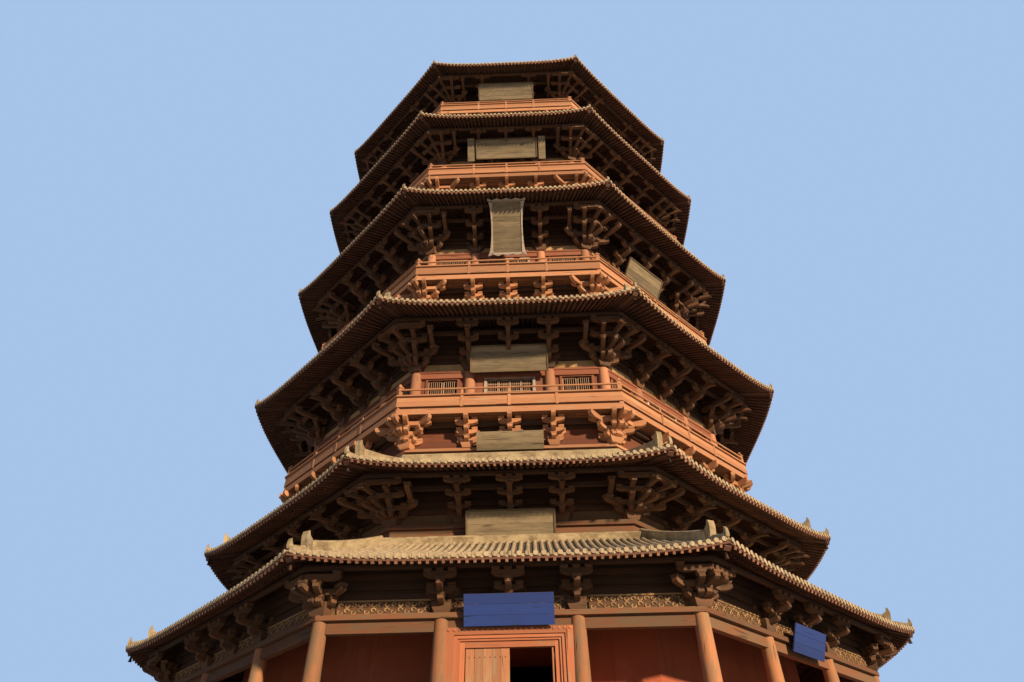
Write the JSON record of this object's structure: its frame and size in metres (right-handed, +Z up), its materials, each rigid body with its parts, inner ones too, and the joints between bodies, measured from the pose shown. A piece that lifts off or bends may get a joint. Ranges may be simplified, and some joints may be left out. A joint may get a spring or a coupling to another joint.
{
  "type": "octagonal timber pagoda, scale model at 1:2",
  "caption": "Scale model at 1:2 of an octagonal timber pagoda with balconies, bracketed eaves and a veranda, on a stone platform with stairs, with an entrance whose leaves swing.",
  "frame": {"origin": "on the tower's axis at ground level, in the underside of the lower platform tier", "axes": "+Z up, -Y out through the entrance, +X to the right of someone facing the entrance from outside"},
  "size_m": [20.5, 24.8603, 33.655],
  "materials": {
    "stone": "weathered stone paving and ashlar",
    "red_plaster": "limewashed plaster, matt",
    "grey_brick": "weathered grey brick",
    "clay_tile": "weathered grey clay tile",
    "aged_timber": "bare weathered timber",
    "red_timber": "faded red earth paint on timber",
    "door_timber": "oiled plank timber",
    "plaque_board": "weathered painted board",
    "blue_board": "blue painted board",
    "cast_iron": "weathered cast iron"
  },
  "bodies": {
    "root": {"platform_lower": "stone", "platform_upper": "stone", "stair_lower": "stone", "stair_upper": "stone", "ground_wall_west": "red_plaster", "ground_wall_east": "red_plaster", "wall_over_door": "red_plaster", "veranda_frame": "aged_timber", "veranda_brackets": "aged_timber", "veranda_roof": "clay_tile", "vestibule_wall_west": "red_plaster", "vestibule_wall_east": "red_plaster", "doorway_frame": "door_timber", "storey1_beam_ring": "aged_timber", "storey1_eave_brackets": "aged_timber", "storey1_roof": "clay_tile", "storey2_balcony_brackets": "red_timber", "storey2_floor": "red_timber", "storey2_railing": "red_timber", "storey2_wall": "red_timber", "storey2_eave_brackets": "aged_timber", "storey2_roof": "clay_tile", "storey3_balcony_brackets": "red_timber", "storey3_floor": "red_timber", "storey3_railing": "red_timber", "storey3_wall": "red_timber", "storey3_eave_brackets": "aged_timber", "storey3_roof": "clay_tile", "storey4_balcony_brackets": "red_timber", "storey4_floor": "red_timber", "storey4_railing": "red_timber", "storey4_wall": "red_timber", "storey4_eave_brackets": "aged_timber", "storey4_roof": "clay_tile", "storey5_balcony_brackets": "red_timber", "storey5_floor": "red_timber", "storey5_railing": "red_timber", "storey5_wall": "red_timber", "storey5_eave_brackets": "aged_timber", "storey5_roof": "clay_tile", "finial_base": "grey_brick", "finial_spire": "cast_iron", "plaque_entrance": "blue_board", "plaque_veranda_southeast": "blue_board", "plaque_storey1": "plaque_board", "plaque_balcony2": "plaque_board", "plaque_storey2": "plaque_board", "plaque_storey3": "plaque_board", "plaque_storey3_southeast": "plaque_board", "plaque_storey4": "plaque_board", "plaque_storey5": "plaque_board"},
    "door_leaf_west": {"door_leaf_west": "door_timber"},
    "door_leaf_east": {"door_leaf_east": "door_timber"}
  },
  "joints": [
    {"name": "west_leaf_hinge", "type": "hinge", "parent": "root", "child": "door_leaf_west", "pos_m": [-0.691, -7.5225, 3], "axis": [0, 0, 1], "range_deg": [0, 90]},
    {"name": "east_leaf_hinge", "type": "hinge", "parent": "root", "child": "door_leaf_east", "pos_m": [0.691, -7.5225, 3], "axis": [0, 0, 1], "range_deg": [0, 90]}
  ]
}
